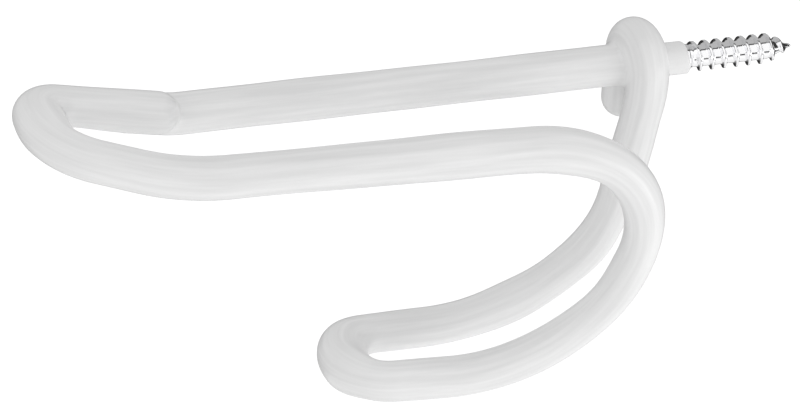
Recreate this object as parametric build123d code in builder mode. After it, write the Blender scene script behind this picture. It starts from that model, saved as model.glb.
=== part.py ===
from build123d import *
from math import acos, atan2, cos, degrees, hypot, radians, sin, tan
import os

# Double coat and hat hook: a screw rod and a bent wire, welded together and dipped in white vinyl.
# The wall's face is the XZ plane and the screw's axis is the Y axis, with its point at +Y in the wall.
# The hook stands out from the wall to -Y, +Z is up, and the near strand is on the +X side.
# Lengths are in millimetres and angles in degrees.

# Wire and vinyl
wire_diameter = 4.76
coat_thickness = 1.37
set_down = 0.25              # how far the welds press the two wires into each other
end_chamfer = 0.5            # cropped edge at each cut end of the wires

# Thin collar of vinyl on the rod, between the loop and the wall
collar_thickness = 0.62
collar_taper_length = 2.6
collar_edge_length = 0.8
collar_edge_thickness = 0.2

# Wood screw thread, from the wall's face to the point
thread_length = 19.8
thread_point_length = 4.8
thread_major = 5.5
thread_root = 3.9
thread_pitch = 2.31
thread_crest_width = 0.3
thread_base_width = 1.15
thread_top_crest = 1.26      # how far into the wall the first crest passes the top of the screw
thread_tip_diameter = 0.3
thread_run_in = 0.9          # length over which the ridge rises from the rod to its full height
ridge_bite = 0.25            # how far the ridge reaches into the core
ridge_overlap = 0.1
point_ridge_bite = 0.12
point_ridge_sink = 0.05
point_ridge_stop = 0.5
outline_room = 0.5           # how far the cutting outline stands off the crests between its two cones
outline_skim = 0.02

# Screw rod: straight out, then turned up at the front beside the stub of the bent wire
rod_reach = 93.1
rod_end_length = 10.2
upturn_angle = 12.7
upturn_swing = 1.6          # the upturned front also leans this far towards the near strand
upturn_radius = 17.6

# Upper arms: the stub lies on the rod's near side, partly above it
stub_lift_angle = 31.9
stub_stand_off = 1.4         # from the end of the rod's bend to the stub's full skin
web_skim = 0.03              # how much thicker the vinyl is where the two skins run side by side
web_lap = 0.4                # how far each skin runs into that stretch
tip_far_length = 24.6
tip_near_length = 24.0
tip_gap = 6.1
tip_far_inside_radius = 0.8
tip_near_radius = 13.4
strand_spread = 22.2         # from the screw's axis across to the near strand
near_arm_step = 0.4          # how far past the rod's corner the near strand's first bend lies
near_arm_rise = 0.8
near_arm_radius = 47.4

# Near strand's sweep from the arm down to the lower hook
crest_reach = 29.0
crest_drop = 0.9
crest_radius = 25.3
back_reach = 8.4
back_drop = 12.3
back_radius = 18.4
hook_drop = 49.8
foot_reach = 25.5
foot_radius = 33.9

# Lower hook's tip
hook_reach = 69.4
hook_tip_lift = 3.4
hook_tip_width = 15.9
hook_near_inside_radius = 5.1
hook_far_reach = 65.7
hook_far_lift = 1.3
hook_far_inside_radius = 2.4

# Far strand, from the lower hook up to the loop over the rod
sole_reach = 33.3
sole_sag = 0.3
sole_radius = 39.6
heel_reach = 14.1
heel_rise = 16.75            # from the bottom of the lower hook up to the heel
heel_offset = 0.5            # how far the heel and the sole stand out past the loop's leg
heel_radius = 26.1
leg_drop = 4.2
leg_radius = 30.5
loop_reach = 9.4
loop_skew = 0.65             # how much nearer the wall the leg is than the middle of the loop
tail_length = 12.15

wire_radius = wire_diameter / 2
coat_radius = wire_radius + coat_thickness
collar_radius = wire_radius + collar_thickness
wire_spacing = wire_diameter - set_down
run_share = 0.98             # of a run between two corners, the most that its bends take up


def bend_radii(corners, wanted):
    """The wanted radius of each bend, less where two bends share a run that is too short for both."""
    runs = [Vector(*b) - Vector(*a) for a, b in zip(corners, corners[1:])]
    setbacks = [0.0]
    for before, after, radius in zip(runs, runs[1:], wanted):
        setbacks.append(radius * tan(radians(before.get_angle(after)) / 2))
    setbacks.append(0.0)
    room = [min(1.0, run_share * run.length / (setbacks[i] + setbacks[i + 1])) for i, run in enumerate(runs)]
    return [radius * min(room[i], room[i + 1]) for i, radius in enumerate(wanted)]


# Plane of the upturned front: its X runs outward along the rod, its Y is across, its Z is above
turn, swing = radians(upturn_angle), radians(upturn_swing)
upturned = Plane(
    origin=(0, -rod_reach, 0),
    x_dir=(sin(swing), -cos(swing) * cos(turn), cos(swing) * sin(turn)),
    z_dir=(0, sin(turn), cos(turn)),
)
stub_offset = wire_spacing * cos(radians(stub_lift_angle))
stub_height = wire_spacing * sin(radians(stub_lift_angle))
tip_near_offset = stub_offset + 2 * coat_radius + tip_gap

# Along the upturned front: where the two skins run side by side
upturn_setback = upturn_radius * tan(acos(cos(turn) * cos(swing)) / 2)
overlap_start = upturn_setback + stub_stand_off
overlap_end = rod_end_length - wire_radius


def on_upturn(length, offset, height):
    """A place on the upturned front: along the rod, across from it and above it."""
    return tuple(upturned.from_local_coords((length, offset, height)))


# Corners of the bent wire's route, from the stub on the rod to the leg below the loop
turn_corners = [
    on_upturn(tip_far_length, stub_offset, stub_height),
    on_upturn(tip_near_length, tip_near_offset, stub_height),
    (strand_spread, -rod_reach - near_arm_step, near_arm_rise),
    (strand_spread, -crest_reach, -crest_drop),
    (strand_spread, -back_reach, -back_drop),
    (strand_spread, -foot_reach, -hook_drop),
    (strand_spread, -hook_reach, -hook_drop + hook_tip_lift),
    (strand_spread - hook_tip_width, -hook_far_reach, -hook_drop + hook_far_lift),
    (wire_spacing + heel_offset, -sole_reach, -hook_drop - sole_sag),
    (wire_spacing + heel_offset, -heel_reach, -hook_drop + heel_rise),
    (wire_spacing, -loop_reach + loop_skew, -leg_drop),
]
turn_radii = [
    tip_far_inside_radius + coat_radius,
    tip_near_radius,
    near_arm_radius,
    crest_radius,
    back_radius,
    foot_radius,
    hook_near_inside_radius + coat_radius,
    hook_far_inside_radius + coat_radius,
    sole_radius,
    heel_radius,
    leg_radius,
]

loop_foot = Vector(wire_spacing, -loop_reach + loop_skew, 0)
loop_top = Vector(0, -loop_reach, hypot(wire_spacing, loop_skew))
loop_end = Vector(-wire_spacing, -loop_reach - loop_skew, 0)
wire_corners = [on_upturn(overlap_start - wire_radius, stub_offset, stub_height), *turn_corners, tuple(loop_foot)]
wire_radii = bend_radii(wire_corners, turn_radii)


def rod_route(start, end):
    """Centreline of the screw rod, from a place on its axis to a length along its upturned front."""
    with BuildLine() as route:
        FilletPolyline((0, start, 0), on_upturn(0, 0, 0), on_upturn(end, 0, 0), radius=[upturn_radius])
    return route.line


def bent_route(start, overrun):
    """Centreline of the bent wire from a length along the upturned front, run on by overrun at the tail."""
    corners = [on_upturn(start, stub_offset, stub_height), *wire_corners[1:]]
    with BuildLine() as route:
        FilletPolyline(*corners, radius=wire_radii)
        ThreePointArc(loop_foot, loop_top, loop_end)
        Line(loop_end, loop_end - Vector(0, 0, tail_length + overrun))
    return route.line


def end_edges(part, *places):
    """The round edge nearest to each of the places."""
    rounds = part.edges().filter_by(GeomType.CIRCLE)
    return [rounds.sort_by_distance(place)[0] for place in places]


# Weld between rod and stub: each wire gets a flat, halfway between their two centrelines
weld_plane = Plane(
    origin=on_upturn(rod_end_length / 2, stub_offset / 2, stub_height / 2),
    x_dir=upturned.x_dir,
    z_dir=upturned.y_dir * stub_offset + upturned.z_dir * stub_height,
)
weld_block_length = rod_end_length + 2 * end_chamfer


def weld_block(side):
    """Block that cuts a wire's flat, on one side of the weld plane."""
    with BuildPart() as block:
        with BuildSketch(weld_plane):
            Rectangle(weld_block_length, wire_diameter)
        extrude(amount=side * wire_radius)
    return block.part


# Plain bar of the screw rod
bar_line = rod_route(0, rod_end_length)
with BuildPart() as bar:
    with BuildSketch(Plane(origin=bar_line @ 0, z_dir=bar_line % 0)):
        Circle(wire_radius)
    sweep(path=bar_line)
    chamfer(end_edges(bar, bar_line @ 1), end_chamfer)
    add(weld_block(1), mode=Mode.SUBTRACT)

# Thread: a core and two ridges, one along the rod and one around the point, cut to a tapered outline
full_turns = int((thread_length - thread_point_length - thread_top_crest) / thread_pitch) + 1
ridge_start = thread_top_crest - thread_pitch
point_ridge_start = ridge_start + (full_turns + 1) * thread_pitch
point_start = thread_length - thread_point_length
point_half_angle = degrees(atan2((thread_root - thread_tip_diameter) / 2, thread_point_length))


def thread_ridge(start, height, radius, half_angle, bite):
    """A helical ridge that starts above the axis and bites into the core that carries it."""
    ridge_height = (thread_major - thread_root) / 2
    flank_slope = (thread_base_width - thread_crest_width) / ridge_height
    bite_width = thread_base_width + flank_slope * bite
    with BuildPart() as ridge:
        with BuildLine() as route:
            Helix(thread_pitch, height, radius, (0, start, 0), (0, 1, 0), cone_angle=-half_angle)
        with BuildSketch(Plane(origin=route.line @ 0, x_dir=(0, 0, 1), z_dir=route.line % 0)):
            Polygon(
                (-bite, -bite_width / 2),
                (ridge_height, -thread_crest_width / 2),
                (ridge_height, thread_crest_width / 2),
                (-bite, bite_width / 2),
                align=None,
            )
        sweep(path=route.line, is_frenet=True)
    return ridge.part


rod_ridge = thread_ridge(
    ridge_start, point_ridge_start - ridge_start + ridge_overlap, thread_root / 2, 0, ridge_bite
)
point_ridge = thread_ridge(
    point_ridge_start,
    thread_length - point_ridge_start - point_ridge_stop,
    thread_root / 2 - point_ridge_sink,
    point_half_angle,
    point_ridge_bite,
)
run_in_slope = (thread_major / 2 - wire_radius) / thread_run_in
point_slope = (thread_major - thread_tip_diameter) / 2 / thread_point_length
outline_radius = thread_major / 2 + outline_room
with BuildPart() as thread:
    with BuildSketch(Plane.YZ):
        Polygon(
            (0, 0),
            (0, wire_radius),
            (thread_run_in / 2, thread_root / 2),
            (point_start, thread_root / 2),
            (thread_length, thread_tip_diameter / 2),
            (thread_length, 0),
            align=None,
        )
    revolve(axis=Axis.Y)
    add(rod_ridge)
    add(point_ridge)
    with BuildSketch(Plane.YZ):
        Polygon(
            (0, 0),
            (0, wire_radius + outline_skim),
            ((outline_radius - wire_radius) / run_in_slope, outline_radius),
            (point_start - outline_room / point_slope, outline_radius),
            (thread_length, thread_tip_diameter / 2 + outline_skim),
            (thread_length + outline_skim, 0),
            align=None,
        )
    revolve(axis=Axis.Y, mode=Mode.INTERSECT)

# Screw rod: the bar with the thread on its wall end
with BuildPart() as screw_rod:
    add(bar.part)
    add(thread.part)
screw_rod.part.label = "screw_rod"

# Bent wire: stub, tip, near strand, lower hook, far strand, loop over the rod and tail
bent_line = bent_route(overlap_start - wire_radius, 0)
with BuildPart() as bent_wire:
    with BuildSketch(Plane(origin=bent_line @ 0, z_dir=bent_line % 0)):
        Circle(wire_radius)
    sweep(path=bent_line)
    chamfer(end_edges(bent_wire, bent_line @ 0, bent_line @ 1), end_chamfer)
    add(weld_block(-1), mode=Mode.SUBTRACT)
    with BuildSketch(Plane.XZ.offset(loop_reach)):
        Circle(wire_radius)
    extrude(amount=wire_diameter, both=True, mode=Mode.SUBTRACT)
bent_wire.part.label = "bent_wire"

# Vinyl coating: skins of both wires, joined where they run side by side, and hollow where the wires lie
rod_skin_line = rod_route(-loop_reach, overlap_start + web_lap)
bent_skin_line = bent_route(overlap_end - web_lap, -wire_radius)
with BuildPart() as vinyl_coating:
    with BuildSketch(Plane(on_upturn(overlap_start, 0, 0), x_dir=upturned.y_dir, z_dir=upturned.x_dir)):
        with Locations((0, 0), (stub_offset, stub_height)):
            Circle(coat_radius + web_skim)
    extrude(amount=overlap_end - overlap_start)
    with BuildSketch(Plane(origin=rod_skin_line @ 0, z_dir=rod_skin_line % 0)):
        Circle(coat_radius)
    sweep(path=rod_skin_line)
    with Locations(
        Plane(on_upturn(overlap_end, 0, 0), z_dir=upturned.x_dir),
        Plane(on_upturn(overlap_start, stub_offset, stub_height), z_dir=-upturned.x_dir),
    ):
        Sphere(coat_radius)
    with BuildSketch(Plane(origin=bent_skin_line @ 0, z_dir=bent_skin_line % 0)):
        Circle(coat_radius)
    sweep(path=bent_skin_line)
    with Locations(Plane(bent_skin_line @ 1, z_dir=bent_skin_line % 1)):
        Sphere(coat_radius, arc_size1=0, align=(Align.CENTER, Align.CENTER, Align.NONE))
    with BuildSketch(Plane.YZ):
        Polygon(
            (-loop_reach, 0),
            (-loop_reach, coat_radius),
            (-loop_reach + collar_taper_length, collar_radius),
            (-collar_edge_length, collar_radius),
            (0, wire_radius + collar_edge_thickness),
            (0, 0),
            align=None,
        )
    revolve(axis=Axis.Y)
    add(bar.part, mode=Mode.SUBTRACT)
    add(bent_wire.part, mode=Mode.SUBTRACT)
vinyl_coating.part.label = "vinyl_coating"

os.makedirs("parts", exist_ok=True)
export_step(screw_rod.part, "parts/screw_rod.step")
export_step(bent_wire.part, "parts/bent_wire.step")
export_step(vinyl_coating.part, "parts/vinyl_coating.step")
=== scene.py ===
import bmesh
import bpy
import numpy as np
from mathutils import Matrix, Vector


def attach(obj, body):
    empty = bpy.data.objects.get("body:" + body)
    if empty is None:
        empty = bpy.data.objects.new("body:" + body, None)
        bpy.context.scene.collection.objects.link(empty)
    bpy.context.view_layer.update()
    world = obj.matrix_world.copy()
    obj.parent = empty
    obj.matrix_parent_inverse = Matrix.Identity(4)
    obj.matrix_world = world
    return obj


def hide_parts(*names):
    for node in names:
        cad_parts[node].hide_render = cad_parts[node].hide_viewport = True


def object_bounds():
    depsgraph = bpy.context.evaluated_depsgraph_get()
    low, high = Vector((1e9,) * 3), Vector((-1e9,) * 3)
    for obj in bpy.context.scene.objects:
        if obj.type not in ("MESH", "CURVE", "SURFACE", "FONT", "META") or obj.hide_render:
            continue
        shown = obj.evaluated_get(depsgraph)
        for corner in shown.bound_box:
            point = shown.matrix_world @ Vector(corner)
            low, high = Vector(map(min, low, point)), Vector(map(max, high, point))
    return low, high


# Screw-in coat and hat hook: a threaded rod and a bent wire, welded together and dipped in white vinyl.
# Shapes are worked out in millimetres, in the frame of the CAD parts, and put into meshes in metres.
# The wall's face is the XZ plane, the screw's point is at +Y, the hook stands out to -Y and +Z is up.

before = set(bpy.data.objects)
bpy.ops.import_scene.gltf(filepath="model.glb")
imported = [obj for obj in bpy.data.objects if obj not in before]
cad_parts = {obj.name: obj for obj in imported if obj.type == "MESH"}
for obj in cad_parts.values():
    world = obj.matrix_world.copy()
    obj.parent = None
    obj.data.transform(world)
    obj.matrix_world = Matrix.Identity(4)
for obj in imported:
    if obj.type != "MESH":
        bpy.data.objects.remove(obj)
cad_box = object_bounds()
MM = 0.001

# Wire and vinyl
wire_diameter = 4.76
coat_thickness = 1.37
set_down = 0.25              # how far the welds press the two wires into each other

# Wood screw thread, from the wall's face to the point
thread_length = 19.8
thread_point_length = 4.8
thread_major = 5.5
thread_root = 3.9
thread_pitch = 2.31
thread_crest_width = 0.3
thread_base_width = 1.25
thread_top_crest = 1.26      # how far into the wall the first crest passes the top of the screw
thread_tip_diameter = 0.3
thread_run_in = 0.9          # length over which the thread rises from the rod
thread_lead = 0.2            # how far outside the wall's face it begins to rise
thread_fullness = 1.6        # how much longer than the core the ridge stays full over the point
thread_point_curve = 0.8
thread_roundness = 0.6       # of the crest and the groove, where 1 is a full smooth step
point_rings, shank_rings = 90, 300
screw_overlap = 1.0          # how far inside the collar the threaded part's own rings begin
bar_end_step = 0.5           # how much the rod's front end is narrowed at its last ring

# Screw rod: straight out, then turned up at the front beside the stub of the bent wire
rod_reach = 93.1
rod_end_length = 10.2
upturn_angle = 12.7
upturn_swing = 1.6
upturn_radius = 17.6

# Upper arms
stub_lift_angle = 31.9
stub_stand_off = 1.4
tip_far_length = 24.6
tip_near_length = 24.0
tip_gap = 6.1
tip_far_inside_radius = 0.8
tip_near_radius = 13.4
strand_spread = 22.2
near_arm_step = 0.4          # how far past the rod's corner the near strand's first bend lies
near_arm_rise = 0.8
near_arm_radius = 47.4

# Near strand's sweep from the arm down to the lower hook
crest_reach = 29.0
crest_drop = 0.9
crest_radius = 25.3
back_reach = 8.4
back_drop = 12.3
back_radius = 18.4
hook_drop = 49.8
foot_reach = 25.5
foot_radius = 33.9

# Lower hook's tip
hook_reach = 69.4
hook_tip_lift = 3.4
hook_tip_width = 15.9
hook_near_inside_radius = 5.1
hook_far_reach = 65.7
hook_far_lift = 1.3
hook_far_inside_radius = 2.4

# Far strand, from the lower hook up to the loop over the rod
sole_reach = 33.3
sole_sag = 0.3
sole_radius = 39.6
heel_reach = 14.1
heel_rise = 16.75
heel_offset = 0.5
heel_radius = 26.1
leg_drop = 4.2
leg_radius = 30.5
loop_reach = 9.4
loop_skew = 0.65             # how much nearer the wall the leg is than the middle of the loop
tail_length = 12.15

# Vinyl collar on the rod, with its end cut at a slant
collar_thickness = 0.62
collar_root = 7.0            # from the wall's face to its hidden end, inside the loop
collar_top_end = -0.45
collar_bottom_end = 0.0
collar_top_chamfer = 1.1
collar_bottom_chamfer = 0.3
collar_lip = 0.12            # what is left of its thickness at the very end
collar_top_dip = 0.35        # and how much deeper than that its end goes on top, into the thread's run-in

# Creases between the two skins are filled to a fillet of about this size
crease_blend = 1.6
gather_spread = 2.5          # how much wider the gathered vinyl below runs out than a crease does

# Vinyl gathered inside the upper tip: a short round bar, set inward from the wire and smoothed in
pinch_inset = 1.9
pinch_radius = 2.35
pinch_far = 3.2              # from the stub's axis to the bar's end beside the stub
pinch_near = 7.0             # and to its end beside the near strand

# Vinyl gathered inside the lower hook's tip, in the same way
gather_inset = 2.7
gather_radius = 2.5
gather_far = 9.5             # ends of the bar along +X
gather_near = 17.5

# How unevenly the dip lies on both wires: height of each wave, and the length of one radian of it
dip_shrinkage = 0.04         # how much thinner the vinyl set than its solid's even coat
long_wave, long_radian = 0.035, 7.3
short_wave, short_radian = 0.025, 3.1
cross_wave, cross_radian_up, cross_radian_along = 0.03, 2.2, 11.0
streak_length = 22.0         # of wire for one step of the streaks' pattern along it
streaks_round = 3.0          # size of the ring that the pattern is read on round the wire

# Where it lies thicker or thinner: place along the bent wire, half-length, and growth on the side
# to the left and on the side to the right of the wire's run, as the photograph's camera sees it
dip_changes = (
    (15.6, 7.0, -0.5, -0.05),    # stub, before the upper tip
    (24.2, 4.5, 0.0, -0.28),     # upper tip's far side
    (40.6, 8.0, -0.12, -0.14),   # upper tip's near side
    (62.6, 12.0, 0.0, -0.2),     # near arm, where it leaves the upper tip
    (97.6, 16.0, 0.25, 0.2),     # near arm
    (117.6, 8.0, 0.0, 0.55),     # crest
    (147.6, 6.0, -0.35, -0.15),  # back
    (159.6, 7.0, 0.12, -0.6),    # below the back
    (256.6, 6.0, 0.3, 0.15),     # sole
    (282.6, 5.0, -0.08, -0.42),  # heel
)

# How finely the surfaces are worked out
station_spacing = 0.5
skin_facet = 0.4
skin_steps = 5               # times that the skin's points are moved onto the smooth surface
tube_around = 40
collar_around = 72
screw_around = 96

wire_radius = wire_diameter / 2
coat_radius = wire_radius + coat_thickness
dipped_radius = coat_radius - dip_shrinkage
wire_spacing = wire_diameter - set_down
loop_radius = np.hypot(wire_spacing, loop_skew)
run_share = 0.98             # of a run between two corners, the most that its bends take up

# Photograph's camera: a long lens, above the hook on its near side
camera_azimuth = 13.08       # from +X towards -Y
camera_elevation = 35.0
camera_roll = 0.58
camera_distance = 350.2
camera_target = np.array([10.0, -54.98, -18.61])
picture_width = 800.0
focal_pixels = 1988.8
sensor_width = 36.0
view_turn, view_lift = np.radians([camera_azimuth, camera_elevation])
view_back = np.array([
    np.cos(view_turn) * np.cos(view_lift), -np.sin(view_turn) * np.cos(view_lift), np.sin(view_lift)
])


def unit(vectors):
    """Vectors of length one."""
    return vectors / np.linalg.norm(vectors, axis=-1, keepdims=True)


def turned(vector, axis, angles):
    """A vector turned about an axis by each angle.

    The sum of the vector times the cosine, the axis crossed with it times the sine, and its part along
    the axis times one less the cosine.
    """
    c, s = np.cos(angles)[:, None], np.sin(angles)[:, None]
    return c * vector + s * np.cross(axis, vector) + (1 - c) * (vector @ axis) * axis


def bend_radii(corners, wanted):
    """The wanted radius of each bend, less where two bends share a run that is too short for both."""
    runs = np.diff(corners, axis=0)
    directions = unit(runs)
    angles = np.arccos(np.clip((directions[1:] * directions[:-1]).sum(axis=1), -1, 1))
    setbacks = np.concatenate(([0.0], wanted * np.tan(angles / 2), [0.0]))
    room = np.minimum(1, run_share * np.linalg.norm(runs, axis=1) / (setbacks[:-1] + setbacks[1:]))
    return wanted * np.minimum(room[:-1], room[1:])


def rounded_route(corners, radii, across):
    """Stations along a wire with an arc at each corner: centres, directions along, and one direction across.

    An arc touches both of its runs, at the radius times the tangent of half the turn from the corner.
    The direction across turns with the wire about the bend's axis, so that it never twists.
    """
    here = corners[0]
    along = unit(corners[1] - corners[0])
    across = unit(across - (across @ along) * along)
    centres, alongs, acrosses = [], [], []
    for corner, after, radius in zip(corners[1:-1], corners[2:], radii):
        ahead = unit(after - corner)
        axis = np.cross(along, ahead)
        angle = np.arctan2(np.linalg.norm(axis), along @ ahead)
        axis = unit(axis)
        arc_start = corner - along * radius * np.tan(angle / 2)
        steps = max(2, int(np.linalg.norm(arc_start - here) / station_spacing))
        share = np.linspace(0, 1, steps, endpoint=False)[:, None]
        centres.append(here + share * (arc_start - here))
        alongs.append(np.broadcast_to(along, (steps, 3)))
        acrosses.append(np.broadcast_to(across, (steps, 3)))
        hub = arc_start + radius * np.cross(axis, along)
        angles = np.linspace(0, angle, max(4, int(radius * angle / station_spacing)), endpoint=False)
        centres.append(hub + turned(arc_start - hub, axis, angles))
        alongs.append(turned(along, axis, angles))
        acrosses.append(turned(across, axis, angles))
        here = corner + ahead * radius * np.tan(angle / 2)
        across = turned(across, axis, np.array([angle]))[0]
        along = ahead
    steps = max(2, int(np.linalg.norm(corners[-1] - here) / station_spacing))
    share = np.linspace(0, 1, steps + 1)[:, None]
    centres.append(here + share * (corners[-1] - here))
    alongs.append(np.broadcast_to(along, (steps + 1, 3)))
    acrosses.append(np.broadcast_to(across, (steps + 1, 3)))
    return np.concatenate(centres), np.concatenate(alongs), np.concatenate(acrosses)


# Directions of the upturned front: along the rod, above it and across it
turn, swing = np.radians(upturn_angle), np.radians(upturn_swing)
front = np.array([0, -rod_reach, 0])
front_along = np.array([np.sin(swing), -np.cos(swing) * np.cos(turn), np.cos(swing) * np.sin(turn)])
front_above = np.array([0, np.sin(turn), np.cos(turn)])
front_across = np.cross(front_above, front_along)
stub_offset = wire_spacing * np.cos(np.radians(stub_lift_angle))
stub_height = wire_spacing * np.sin(np.radians(stub_lift_angle))
tip_near_offset = stub_offset + 2 * coat_radius + tip_gap
upturn_setback = upturn_radius * np.tan(np.arccos(np.cos(turn) * np.cos(swing)) / 2)
stub_start = upturn_setback + stub_stand_off - wire_radius


def on_upturn(length, offset, height):
    """A place on the upturned front: along the rod, across from it and above it."""
    return front + length * front_along + offset * front_across + height * front_above


def wire_route(end_growth):
    """The bent wire's route, from the stub to the tail, grown by end_growth past both of its ends."""
    corners = np.array([
        on_upturn(stub_start - end_growth, stub_offset, stub_height),
        on_upturn(tip_far_length, stub_offset, stub_height),
        on_upturn(tip_near_length, tip_near_offset, stub_height),
        (strand_spread, -rod_reach - near_arm_step, near_arm_rise),
        (strand_spread, -crest_reach, -crest_drop),
        (strand_spread, -back_reach, -back_drop),
        (strand_spread, -foot_reach, -hook_drop),
        (strand_spread, -hook_reach, -hook_drop + hook_tip_lift),
        (strand_spread - hook_tip_width, -hook_far_reach, -hook_drop + hook_far_lift),
        (wire_spacing + heel_offset, -sole_reach, -hook_drop - sole_sag),
        (wire_spacing + heel_offset, -heel_reach, -hook_drop + heel_rise),
        (wire_spacing, -loop_reach + loop_skew, -leg_drop),
        (wire_spacing, -loop_reach + loop_skew, 0),
    ])
    wanted = np.array([
        tip_far_inside_radius + coat_radius,
        tip_near_radius,
        near_arm_radius,
        crest_radius,
        back_radius,
        foot_radius,
        hook_near_inside_radius + coat_radius,
        hook_far_inside_radius + coat_radius,
        sole_radius,
        heel_radius,
        leg_radius,
    ])
    radii = bend_radii(corners, wanted)
    loop = np.array([
        (wire_spacing, -loop_reach + loop_skew, loop_radius),
        (-wire_spacing, -loop_reach - loop_skew, loop_radius),
        (-wire_spacing, -loop_reach - loop_skew, -tail_length - end_growth),
    ])
    corners = np.concatenate((corners[:-1], loop))
    radii = np.concatenate((radii, [loop_radius, loop_radius]))
    return rounded_route(corners, radii, np.array([0.0, 0.0, 1.0]))


def rod_route(start, end_growth):
    """The screw rod's route, from a place on its axis to its front end, grown by end_growth."""
    corners = np.array([(0, start, 0), front, on_upturn(rod_end_length + end_growth, 0, 0)])
    return rounded_route(corners, [upturn_radius], np.array([0.0, 0.0, 1.0]))


def rings_round(route, radius, around):
    """Rings across a route: at each station the centre plus radius times the cosine and sine of each angle.

    Angle 0 is the direction across that the route carries, and the angles turn from it towards +X on the rod.
    """
    centres, alongs, acrosses = route
    angles = np.linspace(0, 2 * np.pi, around, endpoint=False)
    others = np.cross(acrosses, alongs)
    cosines, sines = np.cos(angles)[None, :, None], np.sin(angles)[None, :, None]
    spokes = cosines * acrosses[:, None] + sines * others[:, None]
    return centres[:, None] + np.broadcast_to(radius, (len(centres), around))[:, :, None] * spokes


def ring_mesh(name, rings):
    """A closed surface from rings of points, with a wall from ring to ring and a pole at each end.

    The faces look outward: where the volume they close comes out negative, they are all turned round.
    """
    count, around = rings.shape[:2]
    poles = rings[[0, -1]].mean(axis=1)
    points = np.concatenate((rings.reshape(-1, 3), poles))
    index = np.arange(count * around).reshape(count, around)
    ahead = np.roll(index, -1, axis=1)
    walls = np.stack((index[:-1], index[1:], ahead[1:], ahead[:-1]), axis=-1).reshape(-1, 4)
    near_pole = np.full(around, count * around)
    caps = np.concatenate((
        np.stack((near_pole, index[0], ahead[0]), axis=-1),
        np.stack((near_pole + 1, ahead[-1], index[-1]), axis=-1),
    ))
    corners = points[walls]
    middle = points.mean(axis=0)
    lean = np.cross(corners[:, 2] - corners[:, 0], corners[:, 3] - corners[:, 1])
    volume = ((corners.mean(axis=1) - middle) * lean).sum()
    if volume < 0:
        walls, caps = walls[:, ::-1], caps[:, ::-1]
    mesh = bpy.data.meshes.new(name)
    mesh.from_pydata((points * MM).tolist(), [], walls.tolist() + caps.tolist())
    mesh.shade_smooth()
    return mesh


def piece(name, mesh, material):
    """An object at the origin that holds the mesh and its material."""
    made = bpy.data.objects.new(name, mesh)
    bpy.context.scene.collection.objects.link(made)
    mesh.materials.clear()
    mesh.materials.append(material)
    return made


def nearest(points, route):
    """Distance from each point to a route, the direction away from it, its station and its length along.

    The points are taken in 24 lots, so that the table of squared distances stays small.
    """
    centres, alongs = route[0], route[1]
    lengths = np.concatenate(([0], np.cumsum(np.linalg.norm(np.diff(centres, axis=0), axis=1))))
    lots = []
    for lot in np.array_split(points, 24):
        apart = (lot ** 2).sum(axis=1)[:, None] - 2 * lot @ centres.T + (centres ** 2).sum(axis=1)
        lots.append(apart.argmin(axis=1))
    station = np.concatenate(lots)
    away = points - centres[station]
    ahead = (away * alongs[station]).sum(axis=1)
    ahead = np.where(station == 0, np.maximum(ahead, 0), ahead)
    ahead = np.where(station == len(centres) - 1, np.minimum(ahead, 0), ahead)
    away = away - ahead[:, None] * alongs[station]
    distance = np.linalg.norm(away, axis=1)
    return distance, away / np.maximum(distance, 1e-6)[:, None], station, lengths[station] + ahead


def slow_waves(length, points):
    """How unevenly the dip ran: two slow waves along the wire and one across it."""
    return (
        long_wave * np.sin(length / long_radian)
        + short_wave * np.sin(length / short_radian + 1.0)
        + cross_wave * np.sin(points[:, 2] / cross_radian_up + length / cross_radian_along)
    )


def dip_change(length, side):
    """Growth of the bent wire's skin: a bell curve round each place, shared between its two sides."""
    growth = np.zeros(len(length))
    for place, half_length, left, right in dip_changes:
        bell = np.exp(-(((length - place) / half_length) ** 2))
        growth = growth + bell * (left * (1 + side) + right * (1 - side)) / 2
    return growth


def smooth_minimum(first, second, blend):
    """The lower of two distances, lowered further where they nearly agree, and the second one's share.

    Where they differ by less than blend it is lowered by blend times h times (1 - h), with h the share.
    """
    share = np.clip(0.5 + 0.5 * (first - second) / blend, 0, 1)
    return first * (1 - share) + second * share - blend * share * (1 - share), share[:, None]


def skin_field(points, rod, wire, blend):
    """How far each point is outside the vinyl, and which way is out.

    The distances to the two skins and to the gathered vinyl are joined by smooth minimums, which fill the
    creases between them.
    """
    rod_distance, rod_out, _, rod_length = nearest(points, rod)
    rod_distance = rod_distance - dipped_radius - slow_waves(rod_length, points)
    wire_distance, wire_out, station, wire_length = nearest(points, wire)
    lefts = unit(np.cross(view_back, wire[1]))
    side = (wire_out * lefts[station]).sum(axis=1)
    growth = slow_waves(wire_length, points) + dip_change(wire_length, side)
    wire_distance = wire_distance - dipped_radius - growth
    outside, share = smooth_minimum(wire_distance, rod_distance, blend)
    out = wire_out * (1 - share) + rod_out * share
    for route, radius in ((pinch_route(), pinch_radius), (gather_route(), gather_radius)):
        distance, bar_out, _, _ = nearest(points, route)
        outside, share = smooth_minimum(outside, distance - radius, gather_spread * blend)
        out = out * (1 - share) + bar_out * share
    return outside, out


def pinch_route():
    """Straight line of the vinyl gathered inside the upper tip, along its cross piece."""
    ends = [
        on_upturn(tip_far_length - pinch_inset, stub_offset + pinch_far, stub_height),
        on_upturn(tip_near_length - pinch_inset, stub_offset + pinch_near, stub_height),
    ]
    return rounded_route(np.array(ends), [], np.array([0.0, 0.0, 1.0]))


def gather_route():
    """Straight line of the vinyl gathered inside the lower hook's tip, along the bend's cross piece."""
    near = np.array([strand_spread, -hook_reach, -hook_drop + hook_tip_lift])
    far = np.array([strand_spread - hook_tip_width, -hook_far_reach, -hook_drop + hook_far_lift])
    inward = np.array([0.0, gather_inset, 0.0])
    slope = (far - near) / (near[0] - far[0])
    ends = [near + slope * (near[0] - place) + inward for place in (gather_far, gather_near)]
    return rounded_route(np.array(ends), [], np.array([0.0, 0.0, 1.0]))


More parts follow.
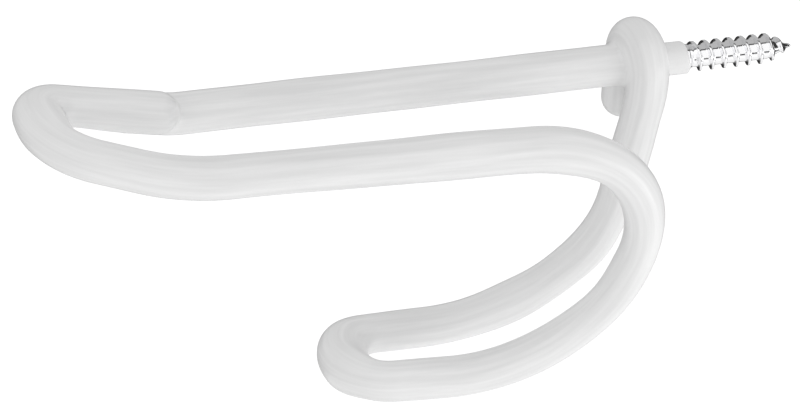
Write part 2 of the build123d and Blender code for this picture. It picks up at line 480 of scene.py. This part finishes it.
def run_of_dip(points, rod, wire):
    """Texture place of each point: length along its wire, and cosine and sine of its angle round it."""
    places, distances = [], []
    for route in (rod, wire):
        distance, out, station, length = nearest(points, route)
        across, along = route[2][station], route[1][station]
        cosine = (out * across).sum(axis=1)
        sine = (out * np.cross(across, along)).sum(axis=1)
        place = (length / streak_length, streaks_round * cosine, streaks_round * sine)
        places.append(np.stack(place, axis=1))
        distances.append(distance)
    return np.where((distances[0] < distances[1])[:, None], places[0], places[1])


def round_ended(route):
    """The route run on by a hemisphere at each end, and the radius of its rings.

    Over a hemisphere the place goes by the sine of the lift from its rim, and the radius by the cosine.
    """
    centres, alongs, acrosses = route
    lift = np.radians(np.arange(12, 90, 12))
    count = len(lift)
    centres = np.concatenate((
        centres[:1] - coat_radius * np.sin(lift[::-1])[:, None] * alongs[:1],
        centres,
        centres[-1:] + coat_radius * np.sin(lift)[:, None] * alongs[-1:],
    ))
    alongs, acrosses = (np.pad(rows, ((count, count), (0, 0)), mode="edge") for rows in (alongs, acrosses))
    sizes = np.concatenate((np.cos(lift[::-1]), np.ones(len(route[0])), np.cos(lift))) * coat_radius
    return (centres, alongs, acrosses), sizes[:, None]


def vinyl_skin(material):
    """Both skins as round-ended tubes, merged and drawn onto the smooth minimum of their distances."""
    growth = coat_thickness - coat_radius
    rod, wire = rod_route(-loop_reach, growth), wire_route(growth)
    rough = bpy.data.meshes.new("rough_skin")
    for route in (rod, wire):
        longer, sizes = round_ended(route)
        tube = ring_mesh("tube", rings_round(longer, sizes, tube_around))
        both = bmesh.new()
        both.from_mesh(rough)
        both.from_mesh(tube)
        both.to_mesh(rough)
        both.free()
    carrier = piece("rough_skin", rough, material)
    merge = carrier.modifiers.new("merge", "REMESH")
    merge.mode = "VOXEL"
    merge.voxel_size = skin_facet * MM
    skin = bpy.data.meshes.new_from_object(carrier.evaluated_get(bpy.context.evaluated_depsgraph_get()))
    bpy.data.objects.remove(carrier)
    flat = np.empty(len(skin.vertices) * 3)
    skin.vertices.foreach_get("co", flat)
    points = flat.reshape(-1, 3) / MM
    for _ in range(skin_steps):
        outside, out = skin_field(points, rod, wire, crease_blend)
        points = points - outside[:, None] * out
    skin.vertices.foreach_set("co", (points * MM).ravel())
    run = skin.attributes.new("run", "FLOAT_VECTOR", "POINT")
    run.data.foreach_set("vector", run_of_dip(points, rod, wire).ravel())
    skin.shade_smooth()
    skin.update()
    skin.name = "vinyl_skin"
    return piece("vinyl_skin", skin, material)


def vinyl_collar(material):
    """A thin sleeve on the rod: its end lies at a slant and is rounded off, most of all on top.

    Along the sleeve the radius stays, and over the chamfer it falls as a quarter of an ellipse.
    """
    angles = np.linspace(0, 2 * np.pi, collar_around, endpoint=False)
    top = 0.5 + 0.5 * np.cos(angles)
    end = collar_bottom_end + (collar_top_end - collar_bottom_end) * top
    chamfer = collar_bottom_chamfer + (collar_top_chamfer - collar_bottom_chamfer) * top ** 2
    sleeve = wire_radius + collar_thickness
    lip = wire_radius + collar_lip - collar_top_dip * top ** 2
    share = np.linspace(0, 1, 16)[:, None]
    quarter = np.linspace(0, np.pi / 2, 10)[1:, None]
    places = np.concatenate((
        -collar_root + share * (end - chamfer + collar_root),
        end - chamfer + chamfer * np.sin(quarter),
    ))
    radius = np.concatenate((
        np.broadcast_to(sleeve, (len(share), collar_around)),
        lip + (sleeve - lip) * np.cos(quarter),
    ))
    rings = np.stack((radius * np.sin(angles), places, radius * np.cos(angles)), axis=-1)
    return piece("vinyl_collar", ring_mesh("vinyl_collar", rings), material)


def ridge_height(place, angles):
    """Height of the thread at a place along the screw and an angle round it.

    The distance along the screw to the nearest crest gives the flank, from 0 at the ridge's foot to 1
    at its crest, and a smooth step of it rounds the crest and the groove.
    """
    turns = (place - thread_top_crest) / thread_pitch - angles / (2 * np.pi)
    off_crest = np.abs(turns - np.round(turns)) * thread_pitch
    flank = (thread_base_width / 2 - off_crest) / (thread_base_width - thread_crest_width) * 2
    flank = np.clip(flank, 0, 1)
    return (thread_major - thread_root) / 2 * flank * flank * (3 - 2 * flank) ** thread_roundness


def threaded_rod(material):
    """The screw rod from its point to its front end: a wire radius, and over the thread a core and a ridge.

    Over the run-in the core shrinks from the wire to the thread's root while the ridge rises,
    and over the point both fall in a straight line to the tip.
    """
    angles = np.linspace(0, 2 * np.pi, screw_around, endpoint=False)
    shoulder = thread_length - thread_point_length
    places = np.concatenate((
        np.linspace(thread_length, shoulder, point_rings, endpoint=False),
        np.linspace(shoulder, -screw_overlap, shank_rings, endpoint=False),
    ))[:, None]
    rise = np.clip((places + thread_lead) / thread_run_in, 0, 1)
    rise = rise * rise * (3 - 2 * rise)
    fall = np.clip((thread_length - places) / thread_point_length, 0, 1)
    core = wire_radius + (thread_root / 2 - wire_radius) * rise
    core = thread_tip_diameter / 2 + (core - thread_tip_diameter / 2) * fall
    full = np.clip(fall * thread_fullness, 0, 1) ** thread_point_curve
    radius = core + ridge_height(places, angles) * rise * full
    depth = np.broadcast_to(places, radius.shape)
    screw_rings = np.stack((radius * np.sin(angles), depth, radius * np.cos(angles)), axis=-1)
    bar = rod_route(-screw_overlap, 0)
    bar_radius = np.full((len(bar[0]), 1), wire_radius)
    bar_radius[-1] = wire_radius - bar_end_step
    rings = np.concatenate((screw_rings, rings_round(bar, bar_radius, screw_around)))
    return piece("threaded_rod", ring_mesh("threaded_rod", rings), material)


def principled(name, base, roughness):
    """A new material with a Principled shader, and its nodes, links and shader."""
    material = bpy.data.materials.new(name)
    material.use_nodes = True
    nodes, links = material.node_tree.nodes, material.node_tree.links
    shader = nodes["Principled BSDF"]
    shader.inputs["Base Color"].default_value = (*base, 1)
    shader.inputs["Roughness"].default_value = roughness
    return material, nodes, links, shader


def white_vinyl():
    """Dipped white vinyl: soft gloss, a slight bump where the dip ran, and painted sheen streaks along the
    wire in its colour.
    """
    material, nodes, links, shader = principled("white_vinyl", (0.8, 0.8, 0.8), 0.33)
    place = nodes.new("ShaderNodeAttribute")
    place.attribute_name = "run"
    waves = nodes.new("ShaderNodeTexNoise")
    waves.inputs["Scale"].default_value = 1.0
    waves.inputs["Detail"].default_value = 3.0
    links.new(place.outputs["Vector"], waves.inputs["Vector"])
    bump = nodes.new("ShaderNodeBump")
    bump.inputs["Strength"].default_value = 0.12
    bump.inputs["Distance"].default_value = 0.0004
    links.new(waves.outputs["Fac"], bump.inputs["Height"])
    links.new(bump.outputs["Normal"], shader.inputs["Normal"])
    # Painted sheen: the base colour runs lighter and darker in streaks along the wire, standing in for
    # highlight streaks on the gloss, round the vinyl's even white tone
    tone_with_painted_sheen = nodes.new("ShaderNodeValToRGB")
    tone_with_painted_sheen.color_ramp.elements[0].position = 0.3
    tone_with_painted_sheen.color_ramp.elements[0].color = (0.745, 0.745, 0.745, 1)
    tone_with_painted_sheen.color_ramp.elements[1].position = 0.7
    tone_with_painted_sheen.color_ramp.elements[1].color = (0.845, 0.845, 0.845, 1)
    links.new(waves.outputs["Fac"], tone_with_painted_sheen.inputs["Fac"])
    links.new(tone_with_painted_sheen.outputs["Color"], shader.inputs["Base Color"])
    return material


def zinc_plate():
    """Bright zinc on rolled steel: metal with a fine cloudiness and slight marks from rolling."""
    material, nodes, links, shader = principled("zinc_plate", (0.93, 0.93, 0.94), 0.14)
    shader.inputs["Metallic"].default_value = 1.0
    place = nodes.new("ShaderNodeTexCoord")
    cloud = nodes.new("ShaderNodeTexNoise")
    cloud.inputs["Scale"].default_value = 900
    cloud.inputs["Detail"].default_value = 4
    links.new(place.outputs["Object"], cloud.inputs["Vector"])
    rough = nodes.new("ShaderNodeMapRange")
    rough.inputs["To Min"].default_value = 0.05
    rough.inputs["To Max"].default_value = 0.15
    links.new(cloud.outputs["Fac"], rough.inputs["Value"])
    links.new(rough.outputs["Result"], shader.inputs["Roughness"])
    bump = nodes.new("ShaderNodeBump")
    bump.inputs["Strength"].default_value = 0.15
    bump.inputs["Distance"].default_value = 0.0001
    links.new(cloud.outputs["Fac"], bump.inputs["Height"])
    links.new(bump.outputs["Normal"], shader.inputs["Normal"])
    return material


def drawn_wire():
    """Drawn steel wire: a duller metal, for the wire inside the vinyl."""
    material, _, _, shader = principled("drawn_wire", (0.42, 0.43, 0.45), 0.4)
    shader.inputs["Metallic"].default_value = 1.0
    return material


vinyl, zinc, steel = white_vinyl(), zinc_plate(), drawn_wire()
skin, collar, screw = vinyl_skin(vinyl), vinyl_collar(vinyl), threaded_rod(zinc)
for made in (skin, collar, screw):
    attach(made, "root")
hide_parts("vinyl_coating")
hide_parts("screw_rod")
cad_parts["bent_wire"].data.materials[0] = steel

# Floor, lamps and world
floor_drop = 0.25            # metres below the hook, because the photograph shows no shadow near it
floor_glow = 0.3             # what the floor adds to the light on the hook
floor_white = 0.55           # what it shows the camera, so that it comes out white
near_light, far_light = 0.82, 0.8          # the studio's walls, on the camera's side and on the far side
near_shine, far_shine = 1.05, 0.5          # the same as a shiny surface mirrors them
edge_shine = 0.04            # dark edge between the two, overhead, and dark end beyond the screw's point
floor_half_width = 6.0       # in metres, as are the places below
lamp_aim = (0.01, -0.05, -0.02)


def ramp(nodes, links, source, start, end, low, high):
    """A smooth step of a node's value, from low at start to high at end."""
    made = nodes.new("ShaderNodeMapRange")
    made.interpolation_type = "SMOOTHSTEP"
    for name, value in zip(("From Min", "From Max", "To Min", "To Max"), (start, end, low, high)):
        made.inputs[name].default_value = value
    links.new(source, made.inputs["Value"])
    return made.outputs["Result"]


def joined(nodes, links, operation, first, second):
    """Two node values, put together by an operation."""
    made = nodes.new("ShaderNodeMath")
    made.operation = operation
    links.new(first, made.inputs[0])
    links.new(second, made.inputs[1])
    return made.outputs["Value"]


def white_floor():
    """A wide white floor that glows a little, like a lit sheet, and keeps the object's soft shadow.

    A shiny surface mirrors it as a white sheet that ends behind the hook and beyond the screw's point.
    """
    mesh = bpy.data.meshes.new("floor")
    edge = floor_half_width
    height = cad_box[0][2] - floor_drop
    square = [(-edge, -edge, height), (edge, -edge, height), (edge, edge, height), (-edge, edge, height)]
    mesh.from_pydata(square, [], [(0, 1, 2, 3)])
    material = bpy.data.materials.new("pale_floor")
    material.use_nodes = True
    nodes, links = material.node_tree.nodes, material.node_tree.links
    shader = nodes["Principled BSDF"]
    shader.inputs["Roughness"].default_value = 1.0
    shader.inputs["Specular IOR Level"].default_value = 0.0
    path = nodes.new("ShaderNodeLightPath")
    glow = ramp(nodes, links, path.outputs["Is Camera Ray"], 0, 1, floor_glow, floor_white)
    links.new(glow, shader.inputs["Emission Strength"])
    place = nodes.new("ShaderNodeTexCoord")
    parts = nodes.new("ShaderNodeSeparateXYZ")
    links.new(place.outputs["Object"], parts.inputs["Vector"])
    behind = ramp(nodes, links, parts.outputs["X"], -0.25, -0.1, 0, 1)
    beyond = ramp(nodes, links, parts.outputs["Y"], 0.3, 0.5, 1, 0)
    sheet = joined(nodes, links, "MULTIPLY", behind, beyond)
    plain = ramp(nodes, links, path.outputs["Is Glossy Ray"], 0, 1, 1, 0)
    mirrored = joined(nodes, links, "MAXIMUM", sheet, plain)
    tint = nodes.new("ShaderNodeValToRGB")
    tint.color_ramp.elements[0].color = (0.03, 0.03, 0.03, 1)
    tint.color_ramp.elements[1].color = (0.8, 0.8, 0.8, 1)
    links.new(mirrored, tint.inputs["Fac"])
    links.new(tint.outputs["Color"], shader.inputs["Base Color"])
    links.new(tint.outputs["Color"], shader.inputs["Emission Color"])
    made = piece("floor", mesh, material)
    return made


def softbox(name, place, aim, size, power):
    """A square lamp at a place, turned to shine on a point."""
    lamp = bpy.data.lights.new(name, "AREA")
    lamp.shape = "SQUARE"
    lamp.size = size
    lamp.energy = power
    made = bpy.data.objects.new(name, lamp)
    bpy.context.scene.collection.objects.link(made)
    place, aim = Vector(place), Vector(aim)
    made.location = place
    made.rotation_euler = (aim - place).to_track_quat("-Z", "Y").to_euler()
    return made


def camera():
    """The photograph's camera: its own right, up and back directions, rolled a little."""
    roll = np.radians(camera_roll)
    level = np.array([np.sin(view_turn), np.cos(view_turn), 0.0])
    upward = np.cross(view_back, level)
    right = np.cos(roll) * level + np.sin(roll) * upward
    up = -np.sin(roll) * level + np.cos(roll) * upward
    place = (camera_target + camera_distance * view_back) * MM
    view = bpy.data.cameras.new("camera")
    view.sensor_width = sensor_width
    view.lens = focal_pixels / picture_width * sensor_width
    view.clip_start = 0.01
    made = bpy.data.objects.new("camera", view)
    bpy.context.scene.collection.objects.link(made)
    columns = np.stack((right, up, view_back, place), axis=1)
    made.matrix_world = Matrix([*columns.tolist(), (0, 0, 0, 1)])
    bpy.context.scene.camera = made


def studio():
    """A plain soft studio: brighter walls on the camera's side, and a dark edge between them in mirrors.

    The light goes by the direction's part along +X, with a smooth step between the far and the near side.
    A mirror shows the dark edge overhead only, and a dark end beyond the screw's point.
    """
    world = bpy.data.worlds.new("studio")
    world.use_nodes = True
    nodes, links = world.node_tree.nodes, world.node_tree.links
    place = nodes.new("ShaderNodeTexCoord")
    parts = nodes.new("ShaderNodeSeparateXYZ")
    links.new(place.outputs["Generated"], parts.inputs["Vector"])
    towards = parts.outputs["X"]
    soft = ramp(nodes, links, towards, -0.12, 0.12, far_light, near_light)
    rise = ramp(nodes, links, towards, 0.1, 0.15, edge_shine, near_shine)
    fall = ramp(nodes, links, towards, -0.13, -0.07, far_shine, edge_shine)
    end = ramp(nodes, links, parts.outputs["Y"], 0.6, 0.75, near_shine, edge_shine)
    sides = joined(nodes, links, "MAXIMUM", rise, fall)
    below = ramp(nodes, links, parts.outputs["Z"], 0.65, 0.8, far_shine, 0)
    walls = joined(nodes, links, "MAXIMUM", sides, below)
    shine = joined(nodes, links, "MINIMUM", walls, end)
    path = nodes.new("ShaderNodeLightPath")
    choice = nodes.new("ShaderNodeMix")
    links.new(path.outputs["Is Glossy Ray"], choice.inputs["Factor"])
    links.new(soft, choice.inputs["A"])
    links.new(shine, choice.inputs["B"])
    links.new(choice.outputs["Result"], nodes["Background"].inputs["Strength"])
    nodes["Background"].inputs["Color"].default_value = (1, 1, 1, 1)
    bpy.context.scene.world = world


white_floor()
softbox("key", (0.5, -0.5, 0.9), lamp_aim, 0.9, 0.6)
softbox("low", (0.42, 0.42, -0.12), lamp_aim, 0.35, 0.9)
camera()
studio()
scene = bpy.context.scene
scene.view_settings.view_transform = "Standard"
